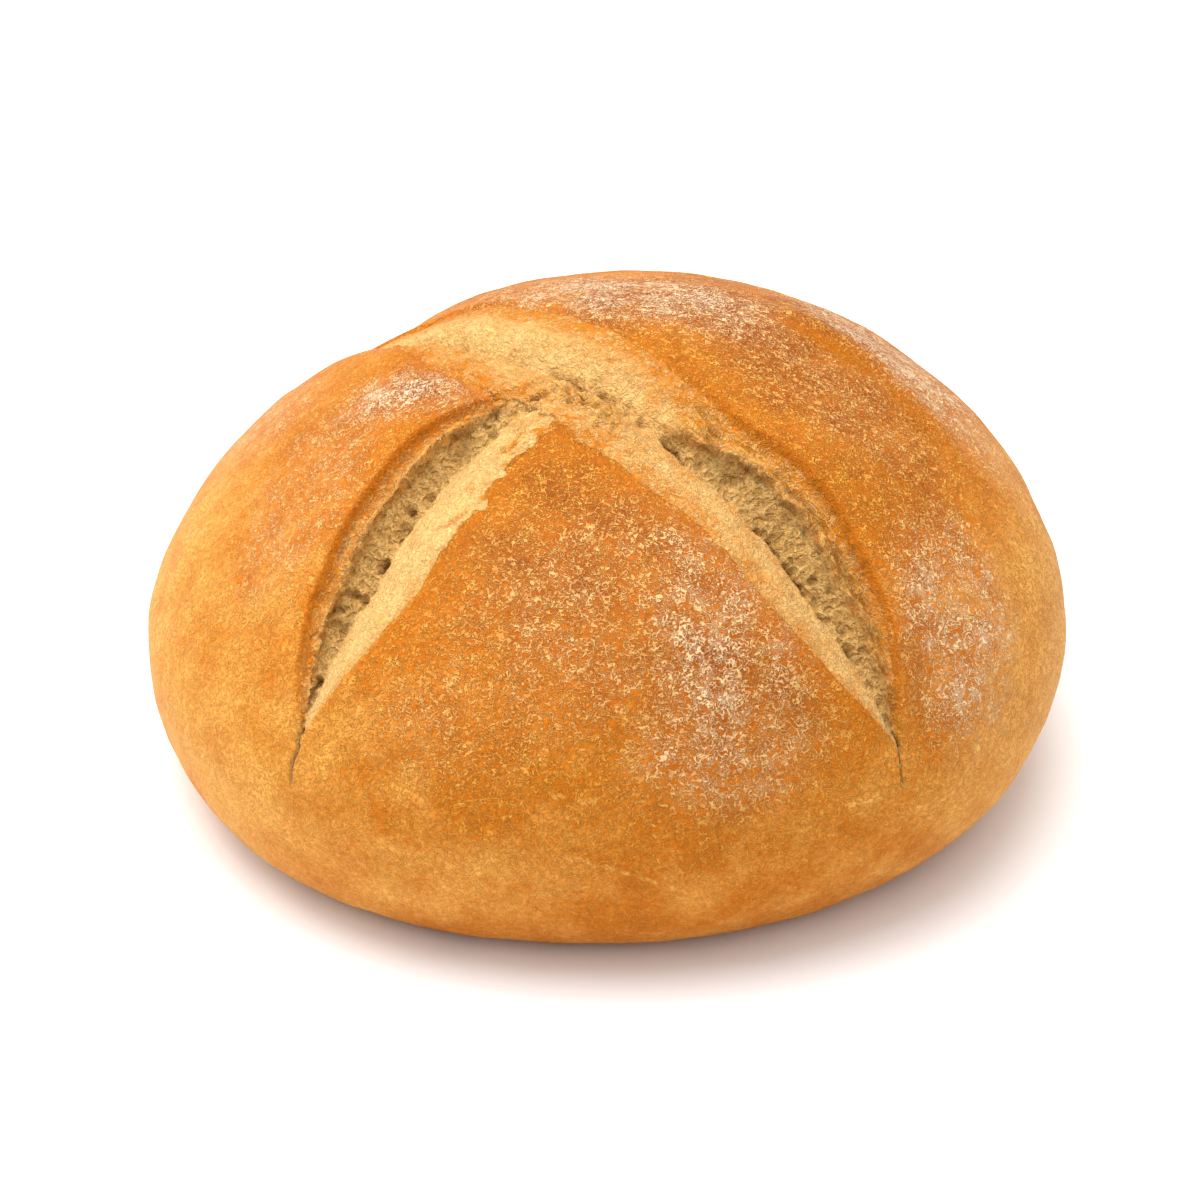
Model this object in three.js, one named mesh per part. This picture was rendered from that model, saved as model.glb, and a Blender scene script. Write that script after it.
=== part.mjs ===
// A hand-shaped round loaf, baked as one piece. Its domed crust is scored from the top before
// baking: one long cut runs across the dome and a short cut joins it from the front left, so
// three lobes of crust stand round the open grooves.
// Units are millimetres, +Z is up, and the loaf stands on z = 0 with its plan centred on the origin.
import * as THREE from "three";
import { mergeVertices } from "three/addons/utils/BufferGeometryUtils.js";

// Driving dimensions.
const RADIUS = 109; // plan radius at the widest ring
const HEIGHT = 106;
const WIDEST_HEIGHT = 34.5; // where the side wall stands furthest out
const BASE_RADIUS = 87; // the flat that stood on the oven floor
const DOME_POWER = 1.76; // superellipse power of the dome
const FOOT_POWER = 2; // superellipse power of the curl between wall and base
const LEAN = 5; // how far the top sits to the right of the widest ring's middle
const TILT = 3; // how much higher the right side rose than the middle
const SURFACE_DETAIL = 19; // subdivisions of the icosahedron that becomes the crust

// The loaf's plan isn't a true circle. Waves to a turn, the share of the radius they add, and
// the angle of a peak.
const PLAN_WAVES = [
  { waves: 2, share: 0.015, peak: 10 },
  { waves: 3, share: 0.0165, peak: -34 },
  { waves: 4, share: 0.01, peak: -35 },
];

// Both cuts are drawn on the dome's flat map, where a point's distance from the centre is its
// arc length from the top: x, y and, as the third number, half the cut's width.
const LONG_CUT = [
  [-84, 73, 0],
  [-70, 57, 8],
  [-49, 35, 12.5],
  [-30, 11, 16.5],
  [-10, -12, 17.5],
  [10, -33, 15.5],
  [33, -53, 15.5],
  [50, -71, 13],
  [62, -84, 8],
  [75, -98, 0],
];
const SHORT_CUT = [
  [-24, -22, 10],
  [-38, -32, 14],
  [-49, -45, 14.5],
  [-61, -62, 12.5],
  [-71, -76, 7.5],
  [-80, -91, 0],
];
const CUT_DEPTH = 8;
const SHOULDER_RISE = 1.8; // how far the oven spring lifted the crust beside a cut
const SHOULDER_REACH = 1.4; // how far that lift reaches past the cut's edge, in half-widths

const SECTION_STEPS = 1500;
const CUT_STEPS = 160;

const radians = (degrees) => (degrees * Math.PI) / 180;

// The half-section of the plain dome as points {r, z, s}: s is the arc length from the top.
function halfSection() {
  const points = [{ r: 0, z: HEIGHT, s: 0 }];
  const add = (r, z) => {
    const last = points.at(-1);
    points.push({ r, z, s: last.s + Math.hypot(r - last.r, z - last.z) });
  };
  const turn = (i) => (i / SECTION_STEPS) * (Math.PI / 2);
  for (let i = 1; i <= SECTION_STEPS; i++) {
    const rise = (HEIGHT - WIDEST_HEIGHT) * Math.cos(turn(i)) ** (2 / DOME_POWER);
    add(RADIUS * Math.sin(turn(i)) ** (2 / DOME_POWER), WIDEST_HEIGHT + rise);
  }
  for (let i = 1; i <= SECTION_STEPS; i++) {
    const curl = (RADIUS - BASE_RADIUS) * Math.cos(turn(i)) ** (2 / FOOT_POWER);
    const drop = WIDEST_HEIGHT * Math.sin(turn(i)) ** (2 / FOOT_POWER);
    add(BASE_RADIUS + curl, WIDEST_HEIGHT - drop);
  }
  const rimArc = points.at(-1).s;
  return { points, rimArc, arc: rimArc + BASE_RADIUS };
}

const section = halfSection();

// The section's radius, height and outward normal at an arc length between top and rim.
function sectionAt(s) {
  const { points } = section;
  let low = 0;
  let high = points.length - 1;
  while (high - low > 1) {
    const middle = (low + high) >> 1;
    if (points[middle].s <= s) low = middle;
    else high = middle;
  }
  const a = points[low];
  const b = points[high];
  const length = b.s - a.s;
  const t = (s - a.s) / length;
  return {
    r: THREE.MathUtils.lerp(a.r, b.r, t),
    z: THREE.MathUtils.lerp(a.z, b.z, t),
    outward: (a.z - b.z) / length,
    upward: (b.r - a.r) / length,
  };
}

// Points along a cut, each carrying half the cut's width in z.
function cutStations(rows) {
  const curve = new THREE.CatmullRomCurve3(rows.map((row) => new THREE.Vector3(...row)));
  return curve.getPoints(CUT_STEPS).filter((point) => point.z > 0.5);
}

const cuts = [cutStations(LONG_CUT), cutStations(SHORT_CUT)];

// How far the crust stands out from the plain dome at a point of the flat map.
function relief(x, y) {
  let height = 0;
  for (const stations of cuts) {
    const widest = Math.max(...stations.map((station) => station.z));
    let across = Infinity;
    let open = 0;
    for (const station of stations) {
      const distance = Math.hypot(x - station.x, y - station.y) / station.z;
      if (distance < across) {
        across = distance;
        open = station.z / widest;
      }
    }
    if (across < 1) height = Math.min(height, -CUT_DEPTH * open * (1 - across ** 2) ** 1.2);
    else if (across < 1 + SHOULDER_REACH && height >= 0) {
      const bump = Math.sin((Math.PI * (across - 1)) / SHOULDER_REACH) ** 2;
      height = Math.max(height, SHOULDER_RISE * open * bump);
    }
  }
  return height;
}

// The loaf's skin in one direction from its middle.
function skinPoint(direction) {
  const polar = Math.acos(THREE.MathUtils.clamp(direction.z, -1, 1));
  const around = Math.atan2(direction.y, direction.x);
  const s = (polar / Math.PI) * section.arc;
  if (s >= section.rimArc) return placed(section.arc - s, 0, around);
  const { r, z, outward, upward } = sectionAt(s);
  const rise = relief(s * Math.cos(around), s * Math.sin(around));
  return placed(r + rise * outward, z + rise * upward, around);
}

// Puts a point of the section into the loaf, which isn't quite round or upright.
function placed(r, z, around) {
  let plan = 1;
  for (const { waves, share, peak } of PLAN_WAVES) {
    plan += share * Math.cos(waves * (around - radians(peak)));
  }
  const x = r * plan * Math.cos(around) + (LEAN * (z - WIDEST_HEIGHT)) / (HEIGHT - WIDEST_HEIGHT);
  const y = r * plan * Math.sin(around);
  return new THREE.Vector3(x, y, z * (1 + ((TILT / HEIGHT) * x) / RADIUS));
}

function loafGeometry() {
  const ball = new THREE.IcosahedronGeometry(1, SURFACE_DETAIL);
  ball.deleteAttribute("normal");
  ball.deleteAttribute("uv");
  const geometry = mergeVertices(ball);
  const position = geometry.getAttribute("position");
  const vertex = new THREE.Vector3();
  for (let i = 0; i < position.count; i++) {
    const point = skinPoint(vertex.fromBufferAttribute(position, i).normalize());
    position.setXYZ(i, point.x, point.y, point.z);
  }
  geometry.computeBoundingBox();
  const middle = geometry.boundingBox.getCenter(new THREE.Vector3());
  geometry.translate(-middle.x, -middle.y, -geometry.boundingBox.min.z);
  geometry.computeVertexNormals();
  return geometry;
}

const crust = new THREE.MeshStandardMaterial({ color: 0xc98437, roughness: 0.62, metalness: 0 });

const part = new THREE.Group();
const loaf = new THREE.Mesh(loafGeometry(), crust);
loaf.name = "loaf";
part.add(loaf);

export default part;
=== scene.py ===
"""A round loaf of white wheat bread: a low dome of floury golden crust, scored with two cuts that
tore open in the oven and show the crumb.

The loaf is shaped in millimetres, on a flat map of its own surface. A point's distance from the
map's centre is its arc length from the loaf's top, so a cut is drawn on the map as a baker draws
it on the dough. The finished mesh is written in metres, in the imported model's own frame.
"""

import functools
import math
from collections import namedtuple

import bmesh
import bpy
import numpy as np
from bpy.props import FloatProperty, FloatVectorProperty, IntProperty, PointerProperty
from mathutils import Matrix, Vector, noise


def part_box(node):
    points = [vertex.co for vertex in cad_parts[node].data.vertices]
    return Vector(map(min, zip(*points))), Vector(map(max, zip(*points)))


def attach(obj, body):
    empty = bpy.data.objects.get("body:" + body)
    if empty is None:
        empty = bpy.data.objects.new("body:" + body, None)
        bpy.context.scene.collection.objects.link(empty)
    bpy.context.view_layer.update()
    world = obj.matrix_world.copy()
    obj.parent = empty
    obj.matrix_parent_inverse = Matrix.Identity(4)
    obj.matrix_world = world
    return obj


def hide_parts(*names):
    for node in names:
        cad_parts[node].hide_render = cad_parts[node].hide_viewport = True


bl_info = {
    "name": "Round Loaf",
    "version": (1, 0, 0),
    "blender": (4, 5, 0),
    "location": "3D View > Sidebar > Loaf",
    "description": "Makes a scored round wheat loaf and the plain stage that it is shown on",
    "category": "Object",
}

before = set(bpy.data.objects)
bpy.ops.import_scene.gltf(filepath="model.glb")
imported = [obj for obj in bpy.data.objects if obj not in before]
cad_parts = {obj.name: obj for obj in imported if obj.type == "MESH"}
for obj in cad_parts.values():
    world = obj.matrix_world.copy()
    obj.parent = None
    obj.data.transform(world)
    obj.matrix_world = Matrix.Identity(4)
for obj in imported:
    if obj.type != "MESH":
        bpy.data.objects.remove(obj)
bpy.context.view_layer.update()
LOAF_LOW, LOAF_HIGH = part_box("loaf")
MM = 0.001

# The dome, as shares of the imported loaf's own width and height.
WIDTH_MM = (LOAF_HIGH.x - LOAF_LOW.x) / MM
HEIGHT_MM = (LOAF_HIGH.z - LOAF_LOW.z) / MM
RADIUS_SHARE = 0.496  # plan radius, of the width
TOP_SHARE = 0.99  # the plain dome's top, of the height
WIDEST_SHARE = 0.322  # height of the widest ring, of the height
BASE_SHARE = 0.798  # radius of the flat base, of the plan radius
DOME_POWER = 1.77
FOOT_POWER = 2.0
LEAN_SHARE = 0.045  # how far the top sits to the right, of the plan radius
TILT_SHARE = 0.028  # how much higher the right side rose, of the height
PLAN_WAVES = ((2, 0.015, 10), (3, 0.0165, -34), (4, 0.01, -35))  # waves, share, peak in degrees

# One station of a cut. x, y and half_width are millimetres on the map, and depth is how far the
# cut's bottom lies below the dome. valley and lip say where the bottom and the torn lip run, from
# -1 at the near edge to 1 at the far edge. tear is how far the far side tore open into a porous
# wall under a lip, swell how far the crumb bulged instead. near and far are how crisp the crust's
# edges stand, toast how brown the near slope baked, and flake how far its crumb broke into chips.
Station = namedtuple("Station", "x y half_width depth valley lip tear swell near far toast flake")
LONG_CUT = (
    Station(-84, 73, 0.0, 0.0, -0.20, 0.50, 0.0, 0.0, 0.30, 0.2, 0.6, 0.0),
    Station(-70, 57, 8.0, 2.6, -0.20, 0.50, 0.0, 1.0, 0.60, 0.3, 0.6, 0.0),
    Station(-49, 35, 12.5, 4.2, -0.14, 0.50, 0.0, 1.8, 1.00, 0.2, 0.55, 0.0),
    Station(-30, 11, 16.5, 4.8, -0.10, 0.50, 0.0, 2.0, 1.00, 0.1, 0.55, 0.1),
    Station(-10, -12, 17.5, 5.6, 0.03, 0.20, 0.0, 1.8, 0.20, 0.3, 0.45, 0.5),
    Station(8, -31, 15.8, 5.8, 0.09, 0.24, 0.5, 0.9, 0.10, 0.7, 0.35, 0.2),
    Station(20, -42, 15.6, 6.8, 0.10, 0.56, 1.0, 0.2, 0.12, 0.9, 0.30, 0.0),
    Station(33, -53, 15.5, 8.4, 0.11, 0.60, 1.0, 0.0, 0.15, 1.0, 0.25, 0.0),
    Station(50, -71, 13.0, 8.0, 0.12, 0.60, 1.0, 0.0, 0.15, 1.0, 0.20, 0.0),
    Station(62, -84, 8.0, 5.4, 0.17, 0.58, 0.9, 0.0, 0.20, 0.8, 0.20, 0.0),
    Station(75, -98, 0.0, 0.0, 0.10, 0.50, 0.4, 0.0, 0.30, 0.3, 0.30, 0.0),
)
SHORT_CUT = (
    Station(-13, -11, 0.0, 0.0, 0.10, 0.66, 0.0, 0.0, 0.00, 0.0, 0.4, 1.0),
    Station(-25, -22, 10.0, 2.4, 0.18, 0.68, 0.5, 0.8, 0.00, 0.6, 0.2, 1.0),
    Station(-38, -32, 14.0, 8.2, 0.26, 0.70, 1.0, 0.0, 0.30, 1.0, 0.05, 1.0),
    Station(-49, -45, 14.5, 8.6, 0.30, 0.74, 1.0, 0.0, 0.20, 1.0, 0.0, 0.7),
    Station(-61, -62, 12.5, 7.6, 0.32, 0.76, 1.0, 0.0, 0.20, 1.0, 0.0, 0.1),
    Station(-71, -76, 7.5, 5.0, 0.34, 0.76, 0.8, 0.0, 0.20, 0.8, 0.0, 0.0),
    Station(-80, -91, 0.0, 0.0, 0.30, 0.66, 0.3, 0.0, 0.30, 0.3, 0.1, 0.0),
)

# The crust split a little past each cut's end: x and y of both ends of each crack.
TIP_CRACKS = ((-79, -89, -86, -100), (74, -96, 79, -105))

# A soft-edged patch on the map: its middle, its half-length and half-width, the angle its length
# runs at in degrees, and its strength.
Patch = namedtuple("Patch", "x y long short angle strength")
FLOUR_PATCHES = (
    Patch(26, -84, 25, 42, 8, 0.75),
    Patch(-2, -80, 44, 34, 0, 0.36),
    Patch(28, -108, 30, 20, 10, 0.6),
    Patch(-50, -4, 26, 12, 165, 1.0),
    Patch(3, 30, 46, 24, -25, 1.0),
    Patch(72, 30, 48, 20, -50, 1.0),
    Patch(48, -4, 36, 26, -45, 0.28),
    Patch(85, -63, 23, 33, 20, 0.85),
    Patch(-76, -25, 20, 38, -20, 0.42),
    Patch(-34, -96, 34, 20, 0, 0.22),
    Patch(-18, 96, 40, 24, 20, 0.8),
    Patch(-95, 30, 20, 34, 20, 0.5),
    Patch(60, 100, 26, 30, -40, 0.6),
)

# Where the crust baked browner.
BROWN_PATCHES = (Patch(46, 8, 54, 34, -45, 0.2), Patch(-2, -46, 24, 22, 0, 0.14))

# Pale scratches low on the front of the crust: x and y of both ends of each.
SCRATCHES = (
    (-15, -136, 2, -140),
    (2, -140, 21, -145),
    (-17, -121, -5, -124),
    (56, -120, 75, -110),
)

# Where the cuts cross, the torn crumb is ropy.
TANGLE = (Patch(-13, -22, 20, 12, -45, 1.0),)

# A shallow fold in the crust behind the long cut: its bare floor, browned darker partly as painted
# shade in the crease, and its rise in millimetres.
BARE_SHADED_PATCHES = (Patch(49, 17, 17, 3.6, -28, 1.0), Patch(70, 0, 16, 3.0, -55, 0.6))
FOLD_PATCHES = (Patch(53, 22, 20, 4.5, -30, 1.6), Patch(74, 4, 14, 4.5, -55, 1.0))

# Where the dome settled, in millimetres.
DIP_PATCHES = (
    Patch(-67, 62, 38, 24, 130, 3.4),
    Patch(58, 66, 44, 40, 0, 1.2),
    Patch(121, 12, 8, 12, 0, 0.8),
)


def srgb(hex_colour):
    """Linear RGBA of an sRGB hex colour."""
    channels = [int(hex_colour[i : i + 2], 16) / 255 for i in (1, 3, 5)]
    linear = [c / 12.92 if c <= 0.04045 else ((c + 0.055) / 1.055) ** 2.4 for c in channels]
    return (*linear, 1.0)


def length_property(name, description, default_mm):
    return FloatProperty(
        name=name,
        description=description,
        default=default_mm * MM,
        min=0.0,
        unit="LENGTH",
        subtype="DISTANCE",
    )


def colour_property(name, description, hex_colour):
    return FloatVectorProperty(
        name=name,
        description=description,
        default=srgb(hex_colour),
        size=4,
        min=0.0,
        max=1.0,
        subtype="COLOR",
    )


class LoafSettings(bpy.types.PropertyGroup):
    """Sizes and colours of the loaf"""

    crust_grid: length_property("Crust grid", "Spacing of the mesh on the plain crust", 2.1)
    crumb_grid: length_property("Crumb grid", "Spacing of the mesh in the cuts", 0.42)
    lip_overhang: length_property("Lip overhang", "How far a torn lip reaches over the crumb", 1.9)
    pore_size: length_property("Pore size", "Width of the larger pores in the crumb", 2.6)
    pore_depth: length_property("Pore depth", "Depth of the larger pores in the crumb", 1.3)
    seed: IntProperty(name="Seed", description="Picks another loaf of the same batch", default=7)
    crust_pale: colour_property("Pale crust", "Crust that browned least", "#F0AC52")
    crust_gold: colour_property("Golden crust", "Crust over most of the loaf", "#CB700E")
    crust_deep: colour_property("Deep crust", "Crust that browned most", "#924505")
    flour: colour_property("Flour", "Flour baked on to the crust", "#F7D9AE")
    crumb_pale: colour_property("Pale crumb", "Smooth torn crumb", "#EDC078")
    crumb_toasted: colour_property("Toasted crumb", "Crumb that browned in the cuts", "#CD7615")
    crumb_open: colour_property("Open crumb", "Porous crumb under the lips", "#DEB068")


class StageSettings(bpy.types.PropertyGroup):
    """Floor and light"""

    floor_size: length_property("Floor size", "Side of the square floor", 6000)
    floor_colour: colour_property("Floor", "Matt white studio floor", "#F4F4F4")
    key_power: FloatProperty(
        name="Soft lights",
        description="Power that the two soft lights share",
        default=44.0,
        min=0.0,
        unit="POWER",
    )
    sky_strength: FloatProperty(
        name="Fill",
        description="Strength of the white studio straight above; it fades to the horizon",
        default=1.57,
        min=0.0,
    )


# --- The loaf's shape -------------------------------------------------------------------------

RADIUS = RADIUS_SHARE * WIDTH_MM
TOP = TOP_SHARE * HEIGHT_MM
WIDEST = WIDEST_SHARE * HEIGHT_MM
BASE_RADIUS = BASE_SHARE * RADIUS
SECTION_STEPS = 2000
NOISE_GAIN = 1.6  # gradient noise seldom passes 0.6 either way


def half_section():
    """Radius, height and arc length from the top, along the dome's half-section and the base."""
    turn = np.linspace(0, math.pi / 2, SECTION_STEPS)
    dome_r = RADIUS * np.sin(turn) ** (2 / DOME_POWER)
    dome_z = WIDEST + (TOP - WIDEST) * np.abs(np.cos(turn)) ** (2 / DOME_POWER)
    foot_r = BASE_RADIUS + (RADIUS - BASE_RADIUS) * np.abs(np.cos(turn)) ** (2 / FOOT_POWER)
    foot_z = WIDEST * (1 - np.sin(turn) ** (2 / FOOT_POWER))
    r = np.concatenate([dome_r, foot_r[1:]])
    z = np.concatenate([dome_z, foot_z[1:]])
    arc = np.concatenate([[0], np.cumsum(np.hypot(np.diff(r), np.diff(z)))])
    base_r = np.linspace(BASE_RADIUS, 0, SECTION_STEPS)[1:]
    r = np.concatenate([r, base_r])
    z = np.concatenate([z, np.zeros(len(base_r))])
    return r, z, np.concatenate([arc, arc[-1] + BASE_RADIUS - base_r])


SECTION_R, SECTION_Z, SECTION_ARC = half_section()
RIM_ARC = SECTION_ARC[2 * SECTION_STEPS - 2]
WHOLE_ARC = SECTION_ARC[-1]
SECTION_OUT = -np.gradient(SECTION_Z, SECTION_ARC)
SECTION_UP = np.gradient(SECTION_R, SECTION_ARC)


def skin(points, lift):
    """The loaf's surface in millimetres at points of the map, raised by lift along its normal."""
    arc = np.hypot(points[:, 0], points[:, 1])
    around = np.arctan2(points[:, 1], points[:, 0])
    r = np.interp(arc, SECTION_ARC, SECTION_R) + lift * np.interp(arc, SECTION_ARC, SECTION_OUT)
    z = np.interp(arc, SECTION_ARC, SECTION_Z) + lift * np.interp(arc, SECTION_ARC, SECTION_UP)
    plan = 1 + sum(s * np.cos(w * (around - math.radians(p))) for w, s, p in PLAN_WAVES)
    x = r * plan * np.cos(around) + LEAN_SHARE * RADIUS * (z - WIDEST) / (TOP - WIDEST)
    y = r * plan * np.sin(around)
    return np.column_stack([x, y, z * (1 + TILT_SHARE * x / RADIUS)])


def to_map(directions):
    """Points of the map for directions from the loaf's middle."""
    polar = np.arccos(np.clip(directions[:, 2], -1, 1))
    around = np.arctan2(directions[:, 1], directions[:, 0])
    arc = polar / math.pi * WHOLE_ARC
    return np.column_stack([arc * np.cos(around), arc * np.sin(around)])


def smooth(value, low, high):
    """0 below low, 1 above high and an even S between them."""
    t = np.clip((value - low) / (high - low), 0, 1)
    return t * t * (3 - 2 * t)


def mix(a, b, t):
    return a + (b - a) * t


def waver(points, size, seed):
    """Smooth random values from about -1 to 1 that change over size, for rows of points."""
    points = np.column_stack([points, np.zeros((len(points), 3 - points.shape[1]))])
    rows = points / size + (17.31 * seed, -9.73 * seed, 5.19 * seed)
    return np.array([noise.noise(row) for row in rows]) * NOISE_GAIN


class Cut:
    """A cut's stations, closely spaced along a smooth curve through the given ones."""

    STEPS = 50  # from one given station to the next
    THINNEST = 0.05  # half-width in millimetres, under which there is no cut
    CHUNK = 4000  # points handled at a time

    def __init__(self, stations, far_side):
        self.far_side = far_side
        rows = np.array(stations, float)
        rows = np.vstack([2 * rows[0] - rows[1], rows, 2 * rows[-1] - rows[-2]])
        t = np.linspace(0, 1, self.STEPS, endpoint=False)[:, None]
        spans = []
        for a, b, c, d in zip(rows, rows[1:], rows[2:], rows[3:]):
            bend = 2 * a - 5 * b + 4 * c - d
            spans.append(b + 0.5 * ((c - a) * t + bend * t**2 + (3 * b - a - 3 * c + d) * t**3))
        self.rows = np.vstack([*spans, rows[-2:-1]])
        step = np.gradient(self.rows[:, :2], axis=0)
        self.tangent = step / np.hypot(*step.T)[:, None]
        moves = np.diff(self.rows[:, :2], axis=0)
        self.arc = np.concatenate([[0], np.cumsum(np.hypot(*moves.T))])

    def place(self, points):
        """For points of the map: the distance along the cut, the distance across it from the near
        edge at -1 to the far edge at 1, the station there, and the direction towards the far
        edge."""
        nearest = np.zeros(len(points), int)
        for start in range(0, len(points), self.CHUNK):
            part = slice(start, start + self.CHUNK)
            gaps = points[part, None, :] - self.rows[None, :, :2]
            nearest[part] = np.argmin((gaps**2).sum(2), axis=1)
        gap = points - self.rows[nearest, :2]
        tangent = self.tangent[nearest]
        far_direction = np.column_stack([-tangent[:, 1], tangent[:, 0]]) * self.far_side
        station = Station(*self.rows[nearest].T)
        along = self.arc[nearest] + (gap * tangent).sum(1)
        across = (gap * far_direction).sum(1) / np.maximum(station.half_width, self.THINNEST)
        return along, across, station, far_direction


CUTS = (Cut(LONG_CUT, 1), Cut(SHORT_CUT, -1))
CUT_REACH = 3.5  # how far from its middle a cut is felt, in half-widths

# The masks on the mesh that its material reads; each cut makes the first five.
CUT_MASKS = ("crumb", "toast", "porous", "strand", "dark")
MASKS = (*CUT_MASKS, "rim", "bake", "flour", "wrinkle", "underside")

# Heights and widths at the cuts, in millimetres.
EDGE_DROP = 1.5  # how far the crumb lies below a crisp crust edge
LIP_DROP = 1.0  # how far a torn lip lies below the dome
LIP_STEP = 1.4  # how much of the wall under the lip is a sheer step
BAND_SAG = 1.0  # how far the skin between lip and crust edge hangs
SHOULDER_RISE = 1.4  # how far the crust stands up beside a cut
TANGLE_RISE = 0.9  # how far the torn crumb stands up where the cuts cross
ROPE_HEIGHT = 1.3
CRACK_DEPTH = 1.1
CRACK_HALF_WIDTH = 0.5
SCRATCH_HEIGHT = 0.15
SCRATCH_HALF_WIDTH = 0.7
LINE_WANDER = 0.5  # how far cracks and scratches stray from straight


def cut_section(across, at):
    """Height over the dome across one cut, and its shoulders' height, in millimetres."""
    near_drop = EDGE_DROP * at.near
    far_drop = EDGE_DROP * at.far
    down = np.clip((across + 1) / (at.valley + 1), 0, 1)
    near_side = -mix(near_drop, at.depth, down**1.35) + at.swell * np.sin(math.pi * down)
    up = np.clip((across - at.valley) / (1 - at.valley), 0, 1)
    closed = -mix(at.depth, far_drop, 1 - (1 - up) ** 2) + 0.9 * at.swell * np.sin(math.pi * up)
    climb = np.clip((across - at.valley) / (at.lip - at.valley), 0, 1)
    band = np.clip((across - at.lip) / (1 - at.lip), 0, 1)
    wall = -mix(at.depth, LIP_DROP + LIP_STEP, climb**1.8) + LIP_STEP * smooth(climb, 0.9, 1.0)
    torn = wall - BAND_SAG * np.sin(math.pi * band) - mix(0, far_drop - LIP_DROP, band)
    far_side = mix(closed, torn, at.tear)
    floor = np.where(across < at.valley, near_side, far_side)
    crisp = np.where(across < 0, at.near, at.far)
    reach = np.abs(across) - 1
    rise = (reach + 0.3) / 0.55
    wide = np.clip(at.half_width / 6, 0, 1)
    shoulder = SHOULDER_RISE * wide * mix(0.45, 1, crisp) * rise * np.exp(1 - rise)
    shoulder *= 1 - smooth(reach, 0.9, 2.4)
    blur = mix(0.16, 0.045, crisp)
    outside = smooth(np.abs(across), 1 - blur, 1 + blur)
    return np.minimum(floor, 0) * (1 - outside), np.maximum(shoulder, 0) * outside


def soft_min(a, b, width):
    """The lower of a and b, rounded where they meet."""
    t = np.clip(0.5 + 0.5 * (b - a) / width, 0, 1)
    return mix(b, a, t) - width * t * (1 - t)


def patch_cover(points, patches):
    """How strongly soft-edged patches cover points of the map."""
    cover = np.zeros(len(points))
    for patch in patches:
        turn = math.radians(patch.angle)
        x = points[:, 0] - patch.x
        y = points[:, 1] - patch.y
        a = (x * math.cos(turn) + y * math.sin(turn)) / patch.long
        b = (y * math.cos(turn) - x * math.sin(turn)) / patch.short
        cover = np.maximum(cover, patch.strength * (1 - smooth(np.hypot(a, b), 0.35, 1.25)))
    return cover


def line_distance(points, lines):
    """Distance in millimetres from points of the map to the nearest of some straight lines."""
    nearest = np.full(len(points), np.inf)
    for x0, y0, x1, y1 in lines:
        start, length = np.array([x0, y0]), np.array([x1 - x0, y1 - y0])
        share = np.clip((points - start) @ length / (length @ length), 0, 1)
        gap = points - start - share[:, None] * length
        nearest = np.minimum(nearest, np.hypot(*gap.T))
    return nearest


def pores(points, size, seed):
    """Depth of rounded pores, from 0 between them to 1, and the thin walls between them."""
    rows = points / size + (3.7 * seed, 1.9 * seed, 0.6 * seed)
    depth = np.zeros(len(points))
    wall = np.zeros(len(points))
    for i, row in enumerate(rows):
        distances, centres = noise.voronoi(row)
        chance = (noise.cell(centres[0] * 31.7) * 0.5 + 0.5) ** 1.5
        radius = 0.25 + 0.45 * chance
        depth[i] = max(0.0, 1 - (distances[0] / radius) ** 2) * (0.15 + 0.85 * chance)
        wall[i] = max(0.0, 1 - (distances[1] - distances[0]) / 0.2)
    return depth, wall


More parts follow.
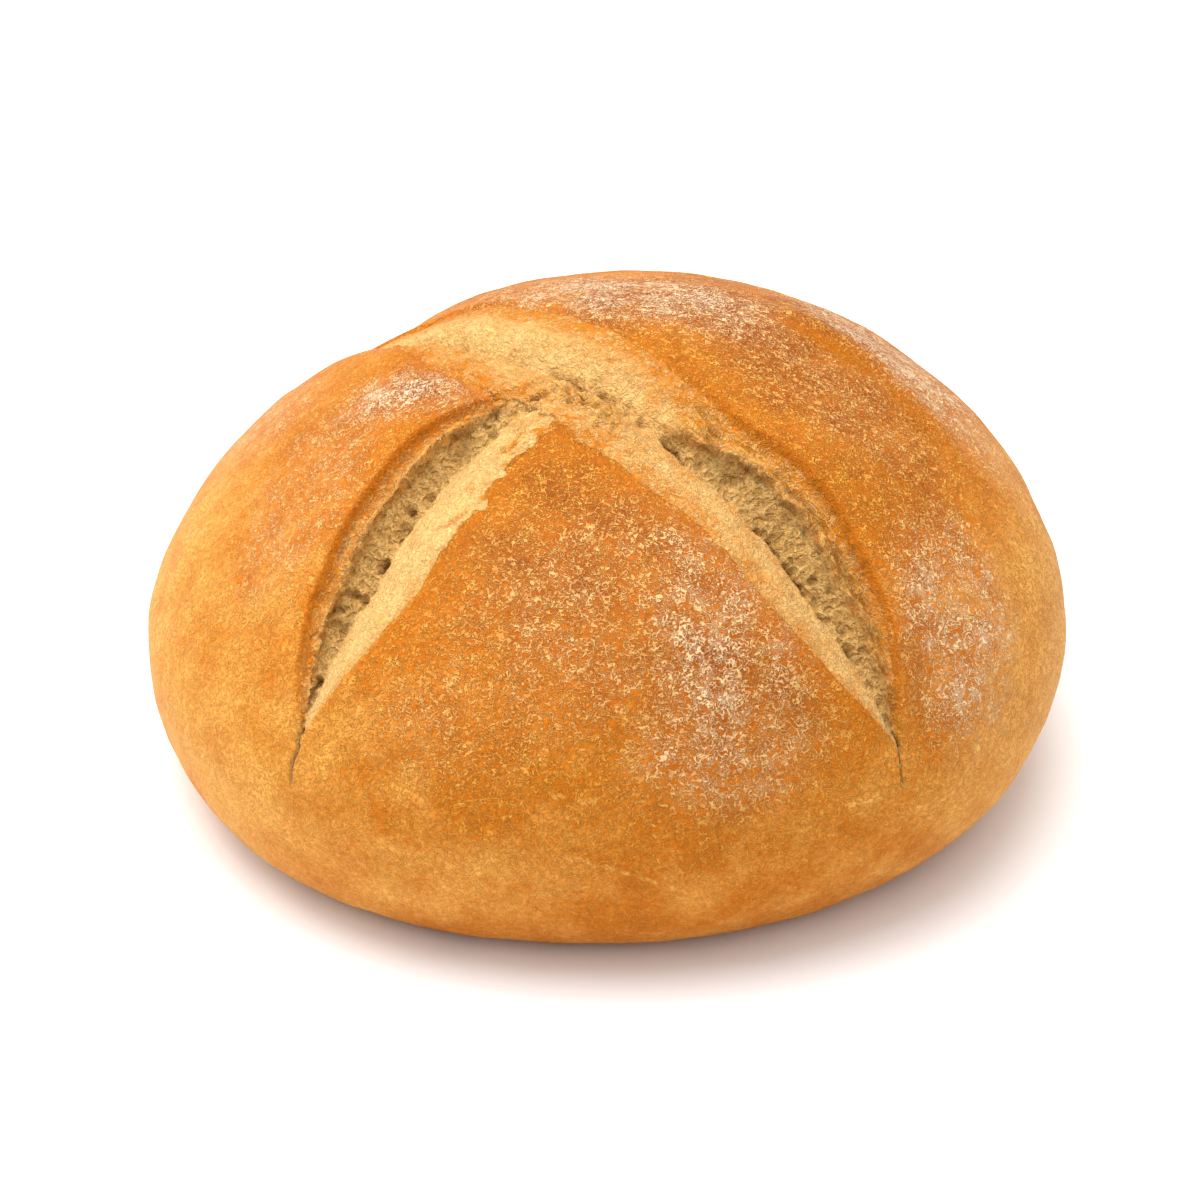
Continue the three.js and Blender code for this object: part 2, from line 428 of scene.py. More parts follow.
def open_cut(number, points, settings):
    """What one cut does at points of the map: its depth, its shoulders' height, how far its torn
    lip drifts, all in millimetres, and its share of each mask."""
    cut = CUTS[number]
    seed = settings.seed
    along, across, at, far_direction = cut.place(points)
    where = np.flatnonzero((np.abs(across) < CUT_REACH) & (at.half_width > cut.THINNEST))
    at = Station(*[column[where] for column in at])
    at = at._replace(tear=smooth(at.tear, 0.3, 0.65))
    track = np.column_stack([along[where], np.full(len(where), 40.0 * number)])
    ragged = waver(track, 2.4, seed + 2) + 0.6 * waver(track, 1.0, seed + 3)
    u = across[where] + 0.045 * waver(track, 9, seed) + 0.02 * waver(track, 2.6, seed + 1)
    grain = np.column_stack([along[where], u * at.half_width, np.full(len(where), 60.0 * number)])
    full = np.clip(at.half_width / 8, 0, 1)
    inside = 1 - smooth(np.abs(u), 0.9, 1.0)
    swollen = np.clip(at.swell / 1.8, 0, 1)

    # the cut's section, the lip that leans over it, and the stringy skin behind the lip
    valley, shoulder = cut_section(u, at)
    lip = np.exp(-(((u - at.lip) / np.where(u < at.lip, 0.04, 0.15)) ** 2)) * at.tear
    drift = lip * settings.lip_overhang / MM * (0.75 + 0.5 * ragged)
    strand = smooth(u, at.lip - 0.08, at.lip + 0.02) * smooth(-u, -0.98, -0.8) * at.tear

    # the porous wall under the lip
    from_lip = at.lip - u + 0.03 * ragged
    under_lip = smooth(u, at.valley - 0.12, at.valley + 0.04) * smooth(from_lip, 0.0, 0.05)
    under_lip *= at.tear
    low_wall = smooth(u, at.valley - 0.08, at.valley + 0.02)
    low_wall *= smooth(-u, -at.valley - 0.28, -at.valley - 0.06)
    low_wall = 0.5 * low_wall * (1 - at.tear) * smooth(at.half_width, 8, 13)
    under_lip = np.maximum(under_lip, low_wall)
    pit, wall = pores(grain, settings.pore_size / MM, seed + 4)
    fine_pit, _ = pores(grain, settings.pore_size / MM * 0.4, seed + 5)
    hollow = smooth(waver(grain, 3.6, seed + 15), 0.05, 0.9)
    sponge = 0.8 * pit + 0.8 * hollow - 0.5 * wall + 0.3 * fine_pit
    relief = -under_lip * settings.pore_depth / MM * sponge

    # torn dough on the slopes, and the gaps where it parted along the bottom
    ropes = 0.45 * waver(grain, (6.0, 2.4, 1), seed + 6)
    ropes += 0.22 * waver(grain, (2.8, 1.0, 1), seed + 13)
    ropes *= mix(0.4, 1, np.maximum(swollen, smooth(u, at.valley - 0.1, at.valley)))
    ropes += 0.4 * swollen * waver(grain, (2.4, 6.0, 1), seed + 25)
    crumble = 0.35 * waver(grain, 2.2, seed + 16) + 0.2 * waver(grain, 1.2, seed + 27)
    chips = at.flake * smooth(-u, -at.valley, 0.3) * (crumble + 0.25 * ragged + 0.4)
    in_valley = np.exp(-(((u - at.valley) / (0.05 + 0.03 * ragged)) ** 2))
    in_valley *= smooth(at.half_width, 5, 9)
    parting = waver(track, 5.5, seed + 14)
    gap = in_valley * smooth(parting, mix(-0.3, 0.1, at.tear), mix(0.6, 0.9, at.tear))
    threads = 1 - 2.2 * np.abs(waver(grain, (9.0, 2.0, 1), seed + 22))
    relief += 0.7 * strand * threads
    relief += inside * (ropes + chips - mix(1.8, 2.6, at.tear) * gap)

    # where the crust ends, how toasted the crumb is, and the painted shade in its pores and gaps,
    # under the lips and between the strings
    crisp = np.where(u < 0, at.near, at.far)
    fray = 0.05 * ragged + 0.1 * waver(grain, 3.2, seed + 19) + 0.16 * waver(grain, 8, seed + 23)
    frayed = u - at.flake * fray * (u < 0)
    cover = 1 - smooth(np.abs(frayed), 1 - mix(0.2, 0.03, crisp), 1 + mix(0.06, 0.02, crisp))
    near_toast = at.toast + 0.5 * smooth(-u, 0.3, 1.0) * (1 - 0.8 * at.flake)
    near_toast += at.flake * smooth(waver(grain, 3.5, seed + 24), 0.1, 0.7) * smooth(-u, 0.1, 0.8)
    closed_toast = 0.05 + 0.95 * smooth(u, 0.1, 0.85)
    torn_toast = 0.66 * smooth(-from_lip, -0.06, 0.0) + 0.3 * smooth(u, at.lip, 1.0)
    toast = np.where(u < at.valley, near_toast, mix(closed_toast, torn_toast, at.tear))
    # painted shadow just under the torn lip
    sheltered = smooth(from_lip, 0.16, 0.05) * (0.1 + 0.35 * ragged)
    dark = under_lip * (0.6 * pit + 0.4 * hollow + sheltered) + gap * mix(0.7, 1.0, at.tear)
    dark = (dark + 0.5 * strand * smooth(-threads, -0.1, 0.6)) * smooth(at.half_width, 2, 8)
    rim = np.exp(-(((np.abs(u) - 1.04) / 0.06) ** 2)) * full * crisp
    rim = np.maximum(rim, 0.55 * full * smooth(-u, 0.95, 1.05) * (1 - smooth(-u, 1.05, 1.4)))

    shares = {
        "depth": valley + relief * (valley < -0.2) + 0.6 * lip * (0.6 + ragged),
        "shoulder": shoulder,
        "drift": drift,
        "crumb": cover,
        "toast": toast,
        "porous": under_lip,
        "strand": strand,
        "dark": np.clip(dark, 0, 1),
        "rim": rim,
    }
    spread = {name: np.zeros(len(points)) for name in shares}
    for name, value in shares.items():
        spread[name][where] = value
    spread["drift"] = -far_direction * spread["drift"][:, None]
    spread["grain"] = np.zeros((len(points), 3))
    spread["grain"][where] = grain
    return spread


def shape(points, settings):
    """The finished loaf over points of the map: positions in millimetres and the masks that its
    material reads."""
    seed = settings.seed
    plain = skin(points, np.zeros(len(points)))
    cuts = [open_cut(number, points, settings) for number in range(len(CUTS))]
    lowest = np.minimum(cuts[0]["depth"], cuts[1]["depth"])
    rounded = soft_min(cuts[0]["depth"], cuts[1]["depth"], 1.2)
    valley = np.where(lowest < -0.05, rounded, lowest)
    shoulder = np.maximum(cuts[0]["shoulder"], cuts[1]["shoulder"])
    shoulder *= 1 - smooth(-lowest, 0.1, 1.2)
    second = cuts[1]["crumb"] > cuts[0]["crumb"]
    masks = {name: np.where(second, cuts[1][name], cuts[0][name]) for name in CUT_MASKS}
    masks["rim"] = np.maximum(cuts[0]["rim"], cuts[1]["rim"]) * (1 - masks["crumb"])
    grain = np.where(second[:, None], cuts[1]["grain"], cuts[0]["grain"])
    drift = cuts[0]["drift"] + cuts[1]["drift"]

    # lumps of the dome, cracks, scratches and the tangle where the cuts cross
    on_dome = smooth(-np.hypot(*points.T), -RIM_ARC - 4, -RIM_ARC + 6)
    lumps = 0.55 * waver(plain, 48, seed + 7) + 0.28 * waver(plain, 17, seed + 8)
    lumps += 0.12 * waver(plain, 6, seed + 9) + patch_cover(points, FOLD_PATCHES)
    lumps -= patch_cover(points, DIP_PATCHES)
    stray = np.column_stack([waver(points, 3, seed + 17), waver(points, 3, seed + 18)])
    wander = points + LINE_WANDER * stray
    crack = np.clip(1 - line_distance(wander, TIP_CRACKS) / CRACK_HALF_WIDTH, 0, 1)
    scratch = np.clip(1 - line_distance(wander, SCRATCHES) / SCRATCH_HALF_WIDTH, 0, 1)
    scratch *= smooth(waver(points, 4, seed + 26), -0.5, 0.1)
    tangle = patch_cover(points, TANGLE) * smooth(-lowest, 0.1, 1.0)
    rope = np.maximum(
        1 - 2.4 * np.abs(waver(points, (5.5, 3.0, 1), seed + 20)),
        1 - 2.8 * np.abs(waver(points, (2.4, 4.2, 1), seed + 21)),
    )
    lift = valley + shoulder + lumps * on_dome - CRACK_DEPTH * crack
    lift += (TANGLE_RISE + ROPE_HEIGHT * rope) * tangle + SCRATCH_HEIGHT * scratch
    masks["strand"] = np.maximum(masks["strand"], tangle)
    # painted shade between the ropes where the cuts cross
    masks["dark"] = np.maximum(masks["dark"], 0.5 * tangle * smooth(-rope, 0.0, 0.9))
    masks["toast"] = np.maximum(masks["toast"], 0.5 * tangle)
    position = skin(points + drift, lift)
    position[:, 2] = np.maximum(position[:, 2], 0)

    # painted shade down in the cracks
    masks["dark"] = np.clip(np.maximum(masks["dark"], crack), 0, 1)
    masks["crumb"] = np.maximum(masks["crumb"], np.clip(2 * crack, 0, 1))
    bare_shaded = patch_cover(points, BARE_SHADED_PATCHES)
    masks["rim"] = np.maximum(masks["rim"], 0.9 * bare_shaded)
    # what the oven and the flour did to the crust, and painted shade in the crease under the fold
    height = plain[:, 2] / TOP
    left = smooth(-plain[:, 0] / RADIUS, 0.1, 1.0)
    right = smooth(plain[:, 0] / RADIUS, 0.45, 1.0)
    bake = 0.38 + 0.26 * smooth(height, 0.3, 0.85) - 0.3 * left - 0.34 * right
    # the fold's bare floor is browner here, partly as painted shade in the crease under the fold
    bake += patch_cover(points, BROWN_PATCHES) + 0.3 * bare_shaded - 0.6 * scratch
    bake += 0.10 * waver(plain, 26, seed + 10) + 0.05 * waver(plain, 8, seed + 11)
    masks["bake"] = np.clip(bake, 0, 1)
    flour = patch_cover(points, FLOUR_PATCHES) * (0.8 + 0.3 * waver(plain, 9, seed + 12))
    masks["flour"] = np.clip(flour * (1 - masks["crumb"]) * (1 - bare_shaded), 0, 1)
    wrinkle = 0.45 + 0.55 * smooth(height, 0.15, 0.6)
    masks["wrinkle"] = np.clip(np.maximum(wrinkle * (1 - 0.15 * left), flour), 0, 1)
    masks["underside"] = smooth(np.hypot(*points.T), RIM_ARC - 10, RIM_ARC + 2)
    return position, masks, grain


# --- The loaf's mesh --------------------------------------------------------------------------

FINE_REACH = 1.2  # how far from its middle a cut has the finest mesh, in half-widths
SOFT_REACH = 1.7  # and how far a mesh between fine and coarse
FINE_MARGIN = 2.5  # the finest mesh reaches no further past a cut's edge, in millimetres
SOFT_STEP = 2.2  # the spacing between fine and coarse, in finest spacings
LINE_REACH = 2.2  # how far from a crack or a scratch the mesh is fine, in millimetres
REFINE_ROUNDS = 3
LONG_EDGE = 1.35  # an edge this many times the wanted length is split
STRAIGHT_CORNER = math.radians(150)
CUBE_STRETCH = 0.95  # cells of the ball that make the wanted spacing, for each that an arc holds


def even_ball(cells):
    """A closed ball of quads: a cube whose faces' grids are spread evenly over the sphere."""
    bm = bmesh.new()
    bmesh.ops.create_cube(bm, size=2)
    bmesh.ops.subdivide_edges(bm, edges=bm.edges[:], cuts=cells - 1, use_grid_fill=True)
    for vert in bm.verts:
        vert.co = Vector([math.tan(c * math.pi / 4) for c in vert.co]).normalized()
    return bm


def positions(bm):
    return np.array([vert.co[:] for vert in bm.verts])


def wanted_length(points, settings):
    """The mesh spacing wanted at points of the map, in millimetres."""
    fine = settings.crumb_grid / MM
    wanted = np.full(len(points), settings.crust_grid / MM)
    for cut in CUTS:
        _, across, at, _ = cut.place(points)
        far = np.abs(across)
        reach = 1 + FINE_MARGIN / np.maximum(at.half_width, 1.5)
        spacing = np.where(far < SOFT_REACH, fine * SOFT_STEP, np.inf)
        spacing = np.where(far < np.minimum(reach, FINE_REACH), fine, spacing)
        wanted = np.minimum(wanted, spacing)
    lines = np.minimum(line_distance(points, TIP_CRACKS), line_distance(points, SCRATCHES))
    return np.where(lines < LINE_REACH, fine, wanted)


def refine(bm, settings):
    """Splits the edges that are too long for their place, until none is."""
    for _ in range(REFINE_ROUNDS):
        bm.verts.index_update()
        directions = positions(bm)
        ends = np.array([[vert.index for vert in edge.verts] for edge in bm.edges])
        plain = skin(to_map(directions), np.zeros(len(directions)))
        length = np.linalg.norm(plain[ends[:, 0]] - plain[ends[:, 1]], axis=1)
        middle = directions[ends].mean(axis=1)
        middle /= np.linalg.norm(middle, axis=1)[:, None]
        long = length > LONG_EDGE * wanted_length(to_map(middle), settings)
        split = [edge for edge, too_long in zip(bm.edges, long) if too_long]
        if not split:
            break
        bmesh.ops.subdivide_edges(bm, edges=split, cuts=1, use_grid_fill=True)
        # where coarse meets fine, a fan from a face's middle leaves no slivers along its edges
        crowded = [
            face
            for face in bm.faces
            if len(face.verts) > 4 or any(c.calc_angle() > STRAIGHT_CORNER for c in face.loops)
        ]
        bmesh.ops.poke(bm, faces=crowded)
        for vert in bm.verts:
            vert.co.normalize()


def add_unwrap(mesh, points):
    """A UV map of two discs that keep their areas: the crust's, and the base's beside it."""
    crust_radius = 0.43
    base_radius = 0.14
    margin = 0.01
    ring = 0.5 * (SECTION_R[1:] + SECTION_R[:-1]) * np.diff(SECTION_ARC)
    ring = np.concatenate([[0], np.cumsum(ring)])
    rim = np.interp(RIM_ARC, SECTION_ARC, ring)
    arc = np.hypot(*points.T)
    outward = points / np.maximum(arc, 1e-9)[:, None]
    crust_r = np.sqrt(np.interp(arc, SECTION_ARC, ring) / rim) * crust_radius
    crust_uv = outward * crust_r[:, None] + (crust_radius + margin, 1 - crust_radius - margin)
    base_r = (WHOLE_ARC - arc) / BASE_RADIUS * base_radius
    base_uv = outward * base_r[:, None] + (1 - base_radius - margin, base_radius + margin)
    corner = np.zeros(len(mesh.loops), int)
    mesh.loops.foreach_get("vertex_index", corner)
    starts = np.zeros(len(mesh.polygons), int)
    totals = np.zeros(len(mesh.polygons), int)
    mesh.polygons.foreach_get("loop_start", starts)
    mesh.polygons.foreach_get("loop_total", totals)
    face_of = np.repeat(np.arange(len(starts)), totals)
    face_arc = np.bincount(face_of, arc[corner]) / totals
    on_base = face_arc[face_of] > RIM_ARC
    uv = np.where(on_base[:, None], base_uv[corner], crust_uv[corner])
    layer = mesh.uv_layers.new(name="OFBake")
    layer.uv.foreach_set("vector", uv.astype(np.float32).ravel())


def loaf_mesh(settings):
    """The loaf as one closed mesh in metres, with its masks and its UV map."""
    cells = round(WHOLE_ARC / 2 / (settings.crust_grid / MM) * CUBE_STRETCH)
    bm = even_ball(cells)
    refine(bm, settings)
    points = to_map(positions(bm))
    position, masks, grain = shape(points, settings)
    low, high = position.min(axis=0), position.max(axis=0)
    middle = (LOAF_LOW + LOAF_HIGH) / 2 / MM
    position += [middle.x - (low[0] + high[0]) / 2, middle.y - (low[1] + high[1]) / 2, -low[2]]
    for vert, place in zip(bm.verts, position * MM):
        vert.co = place
    mesh = bpy.data.meshes.new("loaf_crust_and_crumb")
    bm.to_mesh(mesh)
    bm.free()
    add_unwrap(mesh, points)
    for name, values in masks.items():
        mask = mesh.attributes.new(name, "FLOAT", "POINT")
        mask.data.foreach_set("value", values.astype(np.float32))
    fibres = mesh.attributes.new("grain", "FLOAT_VECTOR", "POINT")
    fibres.data.foreach_set("vector", (grain * MM).astype(np.float32).ravel())
    mesh.shade_smooth()
    return mesh


# --- Materials --------------------------------------------------------------------------------

# Tones between the colours of the settings.
BARE_STROKE = "#F4AF46"  # a pale stroke on the crust with no flour on it
STROKE_SHADOW = "#9C4E06"  # painted shade on the ground beside the raised strokes
BARE_RIM = "#C36C10"  # smooth crust along the cuts
SLIT_BROWN = "#93560F"  # between the fibres of toasted crumb
CELL_SHADOW = "#AC7A36"  # painted shade inside the small sunken cells of open crumb
STRING_GAP_SHADE = "#96580F"  # painted shade between the raised strings of torn crumb
STRING_PALE = "#EEB252"
THREAD_SHADOW = "#B0721E"  # painted shade beside the fine raised threads of any crumb
THREAD_PALE = "#F6D592"
PIT_SHADE = "#7A4A12"  # painted shade deep in the pores, the gaps and the cracks, under the lips and between the strings
BASE_FLOUR = "#E9CFA6"


def add_node(tree, kind, inputs=(), output=None, **settings):
    """Adds a node with its settings, fills its inputs, by name or in order, with values or with
    other nodes' sockets, and gives its output of that name, or its first."""
    node = tree.nodes.new("ShaderNode" + kind)
    for name, value in settings.items():
        setattr(node, name, value)
    in_use = [socket for socket in node.inputs if socket.enabled]
    named = inputs.items() if isinstance(inputs, dict) else enumerate(inputs)
    for name, value in named:
        socket = in_use[name] if isinstance(name, int) else node.inputs[name]
        if isinstance(value, bpy.types.NodeSocket):
            tree.links.new(value, socket)
        else:
            socket.default_value = value
    if output:
        return node.outputs[output]
    return next((socket for socket in node.outputs if socket.enabled), None)


def per(size_mm):
    """The scale of a pattern with one feature to each size_mm."""
    return 1 / (size_mm * MM)


def curls(add, place, size_mm, width):
    """Thin curled strokes, where a smooth noise passes its middle value, and the ground beside
    them, which the callers darken as painted shade."""
    wave = add(
        "TexNoise", {"Vector": place, "Scale": per(size_mm), "Detail": 1.0, "Distortion": 1.2}
    )
    above = add("Math", [wave, 0.5], operation="SUBTRACT")
    away = add("Math", [above], operation="ABSOLUTE")
    stroke = add("MapRange", [away, width, 0.2 * width], interpolation_type="SMOOTHSTEP")
    beside = add("MapRange", [away, 2.4 * width, width], interpolation_type="SMOOTHSTEP")
    return stroke, beside


def crust_look(add, place, masks, settings):
    """Colour, roughness and height of the crust: dry, thin and unevenly browned, with flour caught
    in fine wrinkles. The wrinkles are drawn about twice as coarse as real ones, to show at all."""
    fine = add(
        "TexNoise", {"Vector": place, "Scale": per(1.5), "Detail": 3.0, "Roughness": 0.65}
    )
    patchy = add(
        "TexNoise", {"Vector": place, "Scale": per(3.2), "Detail": 3.0, "Roughness": 0.6}
    )
    blotch = add("TexNoise", {"Vector": place, "Scale": per(11), "Detail": 3.0})

    brown = add("Math", [fine, 0.7, masks["bake"]], operation="MULTIPLY_ADD")
    brown = add("Math", [blotch, 0.9, brown], operation="MULTIPLY_ADD")
    brown = add("Math", [masks["flour"], 0.25, brown], operation="MULTIPLY_ADD")
    brown = add("Math", [brown, 0.79], operation="SUBTRACT", use_clamp=True)
    half_baked = add("MapRange", [brown, 0.0, 0.5])
    baked = add("MapRange", [brown, 0.5, 1.0])
    pale, gold = tuple(settings.crust_pale), tuple(settings.crust_gold)
    colour = add("Mix", [half_baked, pale, gold], data_type="RGBA")
    colour = add("Mix", [baked, colour, tuple(settings.crust_deep)], data_type="RGBA")

    opening = add("Math", [masks["flour"], -0.2, 0.5], operation="MULTIPLY_ADD")
    opened = add("Math", [opening, 0.14], operation="ADD")
    gathered = add(
        "MapRange", [patchy, opening, opened, 0.55, 1.0], interpolation_type="SMOOTHSTEP"
    )
    long_stroke, beside_long = curls(add, place, 1.8, 0.06)
    short_stroke, beside_short = curls(add, place, 1.3, 0.058)
    strokes = add("Math", [long_stroke, short_stroke], operation="MAXIMUM")
    strokes = add("Math", [strokes, gathered], operation="MULTIPLY")
    strokes = add("Math", [strokes, masks["wrinkle"]], operation="MULTIPLY")
    # painted shade on the ground beside the raised strokes
    beside = add("Math", [beside_long, beside_short], operation="MULTIPLY")
    shade = add("Math", [beside, masks["wrinkle"]], operation="MULTIPLY")
    shade = add("Math", [shade, 0.7], operation="MULTIPLY")
    colour = add("Mix", [shade, colour, srgb(STROKE_SHADOW)], data_type="RGBA")
    amount = add("MapRange", [masks["flour"], 0.0, 1.0, 0.8, 1.0])
    dust = add("Math", [strokes, amount], operation="MULTIPLY")
    thick = add("Math", [masks["flour"], masks["flour"]], operation="MULTIPLY")
    flour = tuple(settings.flour)
    dust_colour = add("Mix", [masks["flour"], srgb(BARE_STROKE), flour], data_type="RGBA")
    colour = add("Mix", [dust, colour, dust_colour], data_type="RGBA")
    powder = add("MapRange", [patchy, 0.48, 0.7, 0.0, 0.6], interpolation_type="SMOOTHSTEP")
    powder = add("Math", [powder, thick], operation="MULTIPLY")
    colour = add("Mix", [powder, colour, flour], data_type="RGBA")

    glossy = add("Math", [masks["rim"], 0.85], operation="MULTIPLY")
    colour = add("Mix", [glossy, colour, srgb(BARE_RIM)], data_type="RGBA")
    rough = add("MapRange", [dust, 0.0, 1.0, 0.5, 0.8])
    rough = add("Math", [masks["rim"], -0.15, rough], operation="MULTIPLY_ADD")
    height = add("Math", [strokes, 0.8, fine], operation="MULTIPLY_ADD")
    return colour, rough, height


def crumb_look(add, place, masks, settings):
    """Colour and height of the torn crumb: soft, fibrous and matt, pale where it stayed sheltered
    and toasted where it stood open."""
    fine = add(
        "TexNoise", {"Vector": place, "Scale": per(1.1), "Detail": 3.0, "Roughness": 0.65}
    )
    blotch = add("TexNoise", {"Vector": place, "Scale": per(6.0), "Detail": 2.0})
    grain = add("Attribute", output="Vector", attribute_name="grain")
    stretched = add("VectorMath", [grain, (per(4.5), per(0.8), per(1))], operation="MULTIPLY")
    fibres = add("TexNoise", {"Vector": stretched, "Scale": 1.0, "Detail": 2.0, "Distortion": 1.0})
    mixed = add("Math", [fibres, 0.6, fine], operation="MULTIPLY_ADD")
    uneven = add("Math", [mixed, blotch], operation="ADD")
    uneven = add("Math", [uneven, 1.3], operation="SUBTRACT")

    toast = add("Math", [uneven, 1.25, masks["toast"]], operation="MULTIPLY_ADD", use_clamp=True)
    pale, toasted = tuple(settings.crumb_pale), tuple(settings.crumb_toasted)
    colour = add("Mix", [toast, pale, toasted], data_type="RGBA")
    colour = add("Mix", [masks["porous"], colour, tuple(settings.crumb_open)], data_type="RGBA")
    slits = add("MapRange", [fibres, 0.44, 0.3, 0.0, 0.6], interpolation_type="SMOOTHSTEP")
    slits = add("Math", [slits, masks["toast"]], operation="MULTIPLY")
    colour = add("Mix", [slits, colour, srgb(SLIT_BROWN)], data_type="RGBA")

    bent = add("TexNoise", {"Vector": place, "Scale": per(2.5), "Detail": 2.0}, output="Color")
    bent = add("VectorMath", [bent, (2.2 * MM,) * 3], operation="MULTIPLY")
    bent = add("VectorMath", [bent, place], operation="ADD")
    cells = add(
        "TexVoronoi",
        {"Vector": bent, "Scale": per(2.6)},
        output="Distance",
        feature="DISTANCE_TO_EDGE",
    )
    cells = add("MapRange", [cells, 0.04, 0.3], interpolation_type="SMOOTHSTEP")
    cells = add("Math", [cells, masks["porous"]], operation="MULTIPLY")
    # painted shade inside the sunken cells
    inside = add("Math", [cells, 0.38], operation="MULTIPLY")
    colour = add("Mix", [inside, colour, srgb(CELL_SHADOW)], data_type="RGBA")

    lengthways = add("VectorMath", [grain, (per(7.0), per(1.3), per(1))], operation="MULTIPLY")
    strings = add(
        "TexNoise", {"Vector": lengthways, "Scale": 1.0, "Detail": 1.0, "Distortion": 0.6}
    )
    strings = add("Math", [strings, 0.5], operation="SUBTRACT")
    strings = add("Math", [strings], operation="ABSOLUTE")
    # painted shade between the raised strings
    between = add("MapRange", [strings, 0.08, 0.18, 0.0, 0.5], interpolation_type="SMOOTHSTEP")
    between = add("Math", [between, masks["strand"]], operation="MULTIPLY")
    colour = add("Mix", [between, colour, srgb(STRING_GAP_SHADE)], data_type="RGBA")
    strings = add("MapRange", [strings, 0.07, 0.02, 0.0, 0.7], interpolation_type="SMOOTHSTEP")
    strings = add("Math", [strings, masks["strand"]], operation="MULTIPLY")
    colour = add("Mix", [strings, colour, srgb(STRING_PALE)], data_type="RGBA")

    threads, beside = curls(add, place, 1.7, 0.08)
    # painted shade beside the raised threads
    shade = add("Math", [beside, 0.2], operation="MULTIPLY")
    colour = add("Mix", [shade, colour, srgb(THREAD_SHADOW)], data_type="RGBA")
    thread = add("Math", [threads, 0.32], operation="MULTIPLY")
    colour = add("Mix", [thread, colour, srgb(THREAD_PALE)], data_type="RGBA")
    # painted shade in the pores, the gaps, the cracks, under the lips and between the strings
    sunk = add("MapRange", [masks["dark"], 0.1, 0.9, 0.0, 0.85])
    colour = add("Mix", [sunk, colour, srgb(PIT_SHADE)], data_type="RGBA")
    height = add("Math", [mixed, 1.6], operation="MULTIPLY")
    height = add("Math", [threads, 0.6, height], operation="MULTIPLY_ADD")
    height = add("Math", [cells, -1.2, height], operation="MULTIPLY_ADD")
    height = add("Math", [strings, 1.2, height], operation="MULTIPLY_ADD")
    return colour, height


def baked_bread(settings):
    """Baked wheat bread, crust and torn crumb in one, blended by the masks on the mesh. It is dry
    and nearly matt, and a little light enters it, which softens the edges of the crumb."""
    material = bpy.data.materials.new("baked wheat bread")
    material.use_nodes = True
    tree = material.node_tree
    tree.nodes.clear()
    add = functools.partial(add_node, tree)

    place = add("TexCoord", output="Object")
    masks = {name: add("Attribute", output="Fac", attribute_name=name) for name in MASKS}
    crust, crust_rough, crust_height = crust_look(add, place, masks, settings)
    crumb, crumb_height = crumb_look(add, place, masks, settings)

    edge = add(
        "TexNoise", {"Vector": place, "Scale": per(1.1), "Detail": 3.0, "Roughness": 0.65}
    )
    edge = add("Math", [edge, 0.7, masks["crumb"]], operation="MULTIPLY_ADD")
    in_cut = add("MapRange", [edge, 0.7, 1.0], interpolation_type="SMOOTHSTEP")
    colour = add("Mix", [in_cut, crust, crumb], data_type="RGBA")
    floury = add("MapRange", [crust_height, 0.4, 0.8], interpolation_type="SMOOTHSTEP")
    floury = add("Math", [floury, masks["underside"]], operation="MULTIPLY")
    colour = add("Mix", [floury, colour, srgb(BASE_FLOUR)], data_type="RGBA")
    rough = add("Mix", [in_cut, crust_rough, 0.75])
    height = add("Mix", [in_cut, crust_height, crumb_height])
    normal = add("Bump", {"Strength": 1.0, "Distance": 0.55 * MM, "Height": height})
    surface = add(
        "BsdfPrincipled",
        {
            "Base Color": colour,
            "Roughness": rough,
            "Normal": normal,
            "Specular IOR Level": 0.08,
            "Subsurface Weight": 0.06,
            "Subsurface Radius": (1.0, 0.45, 0.18),
            "Subsurface Scale": 2.0 * MM,
        },
    )
    add("OutputMaterial", {"Surface": surface})
    return material


def studio_paper(settings):
    """Matt white studio paper: even, with no gloss, so only the loaf's soft shadow marks it."""
    material = bpy.data.materials.new("matt studio paper")
    material.use_nodes = True
    shader = material.node_tree.nodes["Principled BSDF"]
    shader.inputs["Base Color"].default_value = settings.floor_colour
    shader.inputs["Roughness"].default_value = 1.0
    shader.inputs["Specular IOR Level"].default_value = 0.0
    return material


# --- Operators --------------------------------------------------------------------------------


def add_object(name, data):
    made = bpy.data.objects.new(name, data)
    bpy.context.scene.collection.objects.link(made)
    return made


class LOAF_OT_bake(bpy.types.Operator):
    """Make the loaf, crust and crumb in one closed mesh"""

    bl_idname = "loaf.bake"
    bl_label = "Bake the Loaf"

    def execute(self, context):
        settings = context.scene.loaf_settings
        mesh = loaf_mesh(settings)
        mesh.materials.append(baked_bread(settings))
        loaf = add_object("round_loaf", mesh)
        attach(loaf, "root")
        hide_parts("loaf")
        return {"FINISHED"}


# The camera looks down on the loaf's front. It is moved to the left of its aim and below it, so
# that the loaf sits a little right of the middle of the frame and above it.
CAMERA_ELEVATION = 35
CAMERA_DISTANCE_MM = 900
CAMERA_LENS = 112.3
SENSOR_WIDTH = 36
CLIP_START = 0.05
CLIP_END = 50
AIM_MM = (0.3, -1.8, 50)
FRAMING_MM = (-1.7, -13.5)

# Each soft light's name, width in metres, share of the power, and place in metres.
SOFT_BOXES = (
    ("overhead light", 2.0, 0.8, (-0.3, 0.35, 1.8)),
    ("left light", 1.6, 0.2, (-1.3, 0.15, 1.25)),
)


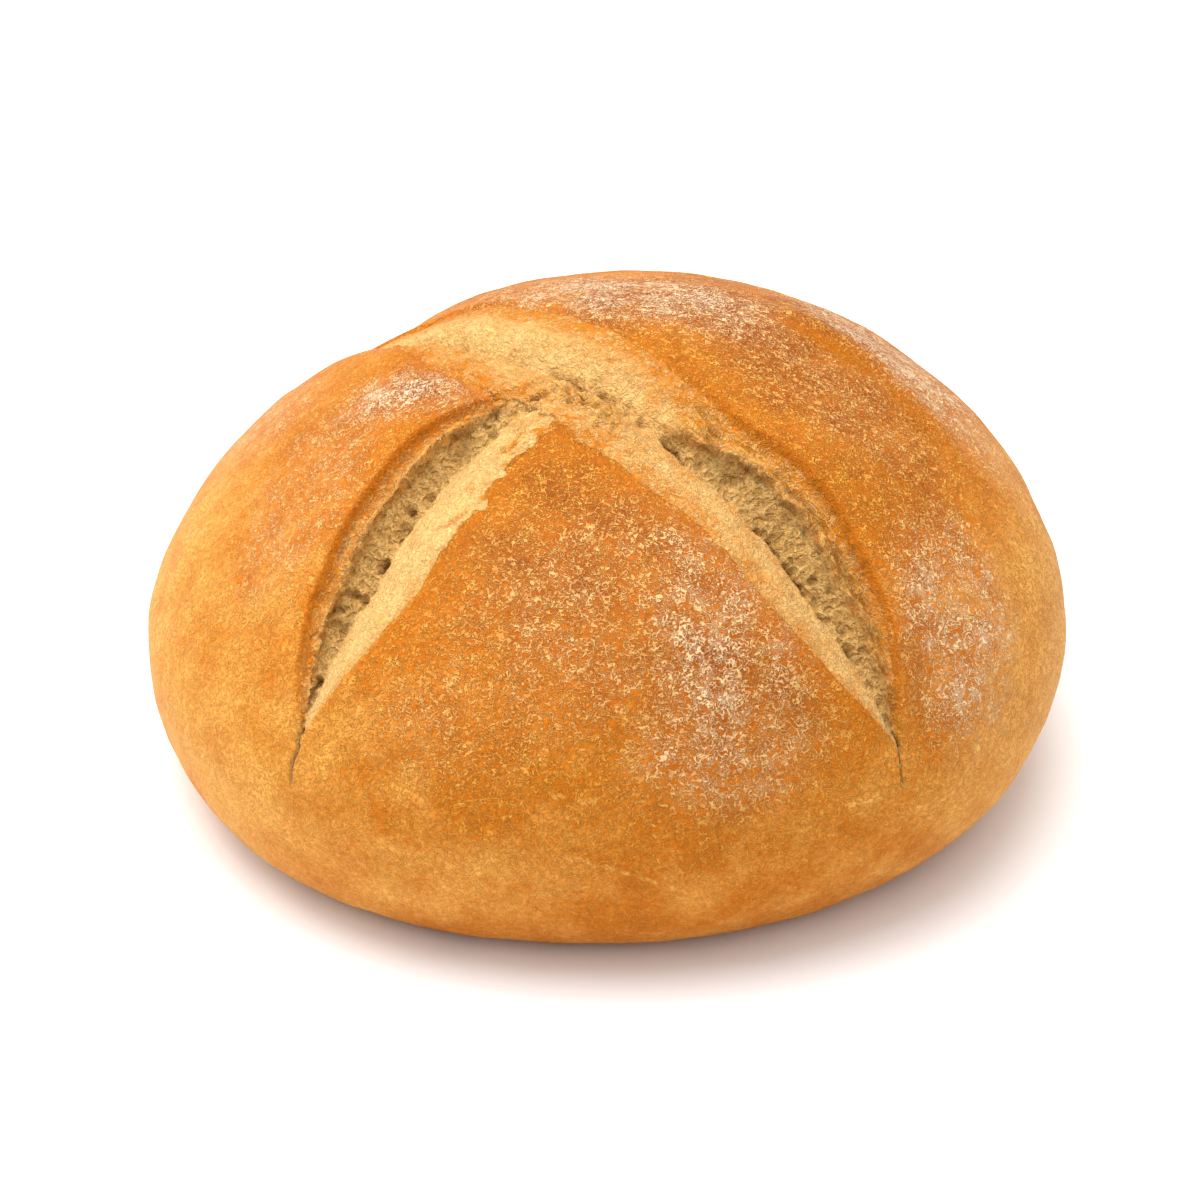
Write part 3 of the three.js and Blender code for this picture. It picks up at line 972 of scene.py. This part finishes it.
class LOAF_OT_stage(bpy.types.Operator):
    """Make the floor, the lights and the camera"""

    bl_idname = "loaf.stage"
    bl_label = "Set the Stage"

    def execute(self, context):
        settings = context.scene.loaf_stage_settings
        self.add_floor(settings)
        self.add_lights(context, settings)
        self.add_camera(context)
        return {"FINISHED"}

    def add_floor(self, settings):
        bm = bmesh.new()
        bmesh.ops.create_grid(bm, x_segments=1, y_segments=1, size=settings.floor_size / 2)
        mesh = bpy.data.meshes.new("floor")
        bm.to_mesh(mesh)
        bm.free()
        mesh.materials.append(studio_paper(settings))
        floor = add_object("floor", mesh)

    def add_lights(self, context, settings):
        for name, size, share, place in SOFT_BOXES:
            light = bpy.data.lights.new(name, "AREA")
            light.shape = "DISK"
            light.size = size
            light.energy = share * settings.key_power
            lamp = add_object(name, light)
            lamp.location = place
            lamp.rotation_euler = (-lamp.location).to_track_quat("-Z", "Y").to_euler()
        world = bpy.data.worlds.new("white studio")
        world.use_nodes = True
        world.node_tree.nodes.clear()
        add = functools.partial(add_node, world.node_tree)
        direction = add("TexCoord", output="Generated")
        height = add("SeparateXYZ", [direction], output="Z")
        strength = add("MapRange", [height, 0.0, 1.0, 0.0, settings.sky_strength])
        sky = add("Background", {"Color": (1, 1, 1, 1), "Strength": strength})
        add("OutputWorld", {"Surface": sky})
        context.scene.world = world
        context.scene.view_settings.view_transform = "Standard"

    def add_camera(self, context):
        down = math.radians(CAMERA_ELEVATION)
        forward = Vector((0, math.cos(down), -math.sin(down)))
        up = Vector((0, math.sin(down), math.cos(down)))
        right = Vector((1, 0, 0))
        camera = bpy.data.cameras.new("camera")
        camera.lens = CAMERA_LENS
        camera.sensor_width = SENSOR_WIDTH
        eye = add_object("camera", camera)
        place = Vector(AIM_MM) + right * FRAMING_MM[0] + up * FRAMING_MM[1]
        eye.location = (place - forward * CAMERA_DISTANCE_MM) * MM
        eye.rotation_euler = forward.to_track_quat("-Z", "Y").to_euler()
        camera.clip_start = CLIP_START
        camera.clip_end = CLIP_END
        context.scene.camera = eye


class LOAF_PT_panel(bpy.types.Panel):
    """Lists the loaf's steps and settings"""

    bl_idname = "LOAF_PT_panel"
    bl_label = "Round Loaf"
    bl_space_type = "VIEW_3D"
    bl_region_type = "UI"
    bl_category = "Loaf"

    def draw(self, context):
        for operator, group in (
            ("loaf.bake", context.scene.loaf_settings),
            ("loaf.stage", context.scene.loaf_stage_settings),
        ):
            box = self.layout.box()
            box.operator(operator)
            for name in group.__annotations__:
                box.prop(group, name)


CLASSES = (LoafSettings, StageSettings, LOAF_OT_bake, LOAF_OT_stage, LOAF_PT_panel)


def register():
    for cls in CLASSES:
        bpy.utils.register_class(cls)
    bpy.types.Scene.loaf_settings = PointerProperty(type=LoafSettings)
    bpy.types.Scene.loaf_stage_settings = PointerProperty(type=StageSettings)


def unregister():
    del bpy.types.Scene.loaf_stage_settings
    del bpy.types.Scene.loaf_settings
    for cls in reversed(CLASSES):
        bpy.utils.unregister_class(cls)


def main():
    register()
    bpy.ops.loaf.stage()
    bpy.ops.loaf.bake()


if __name__ == "__main__":
    main()
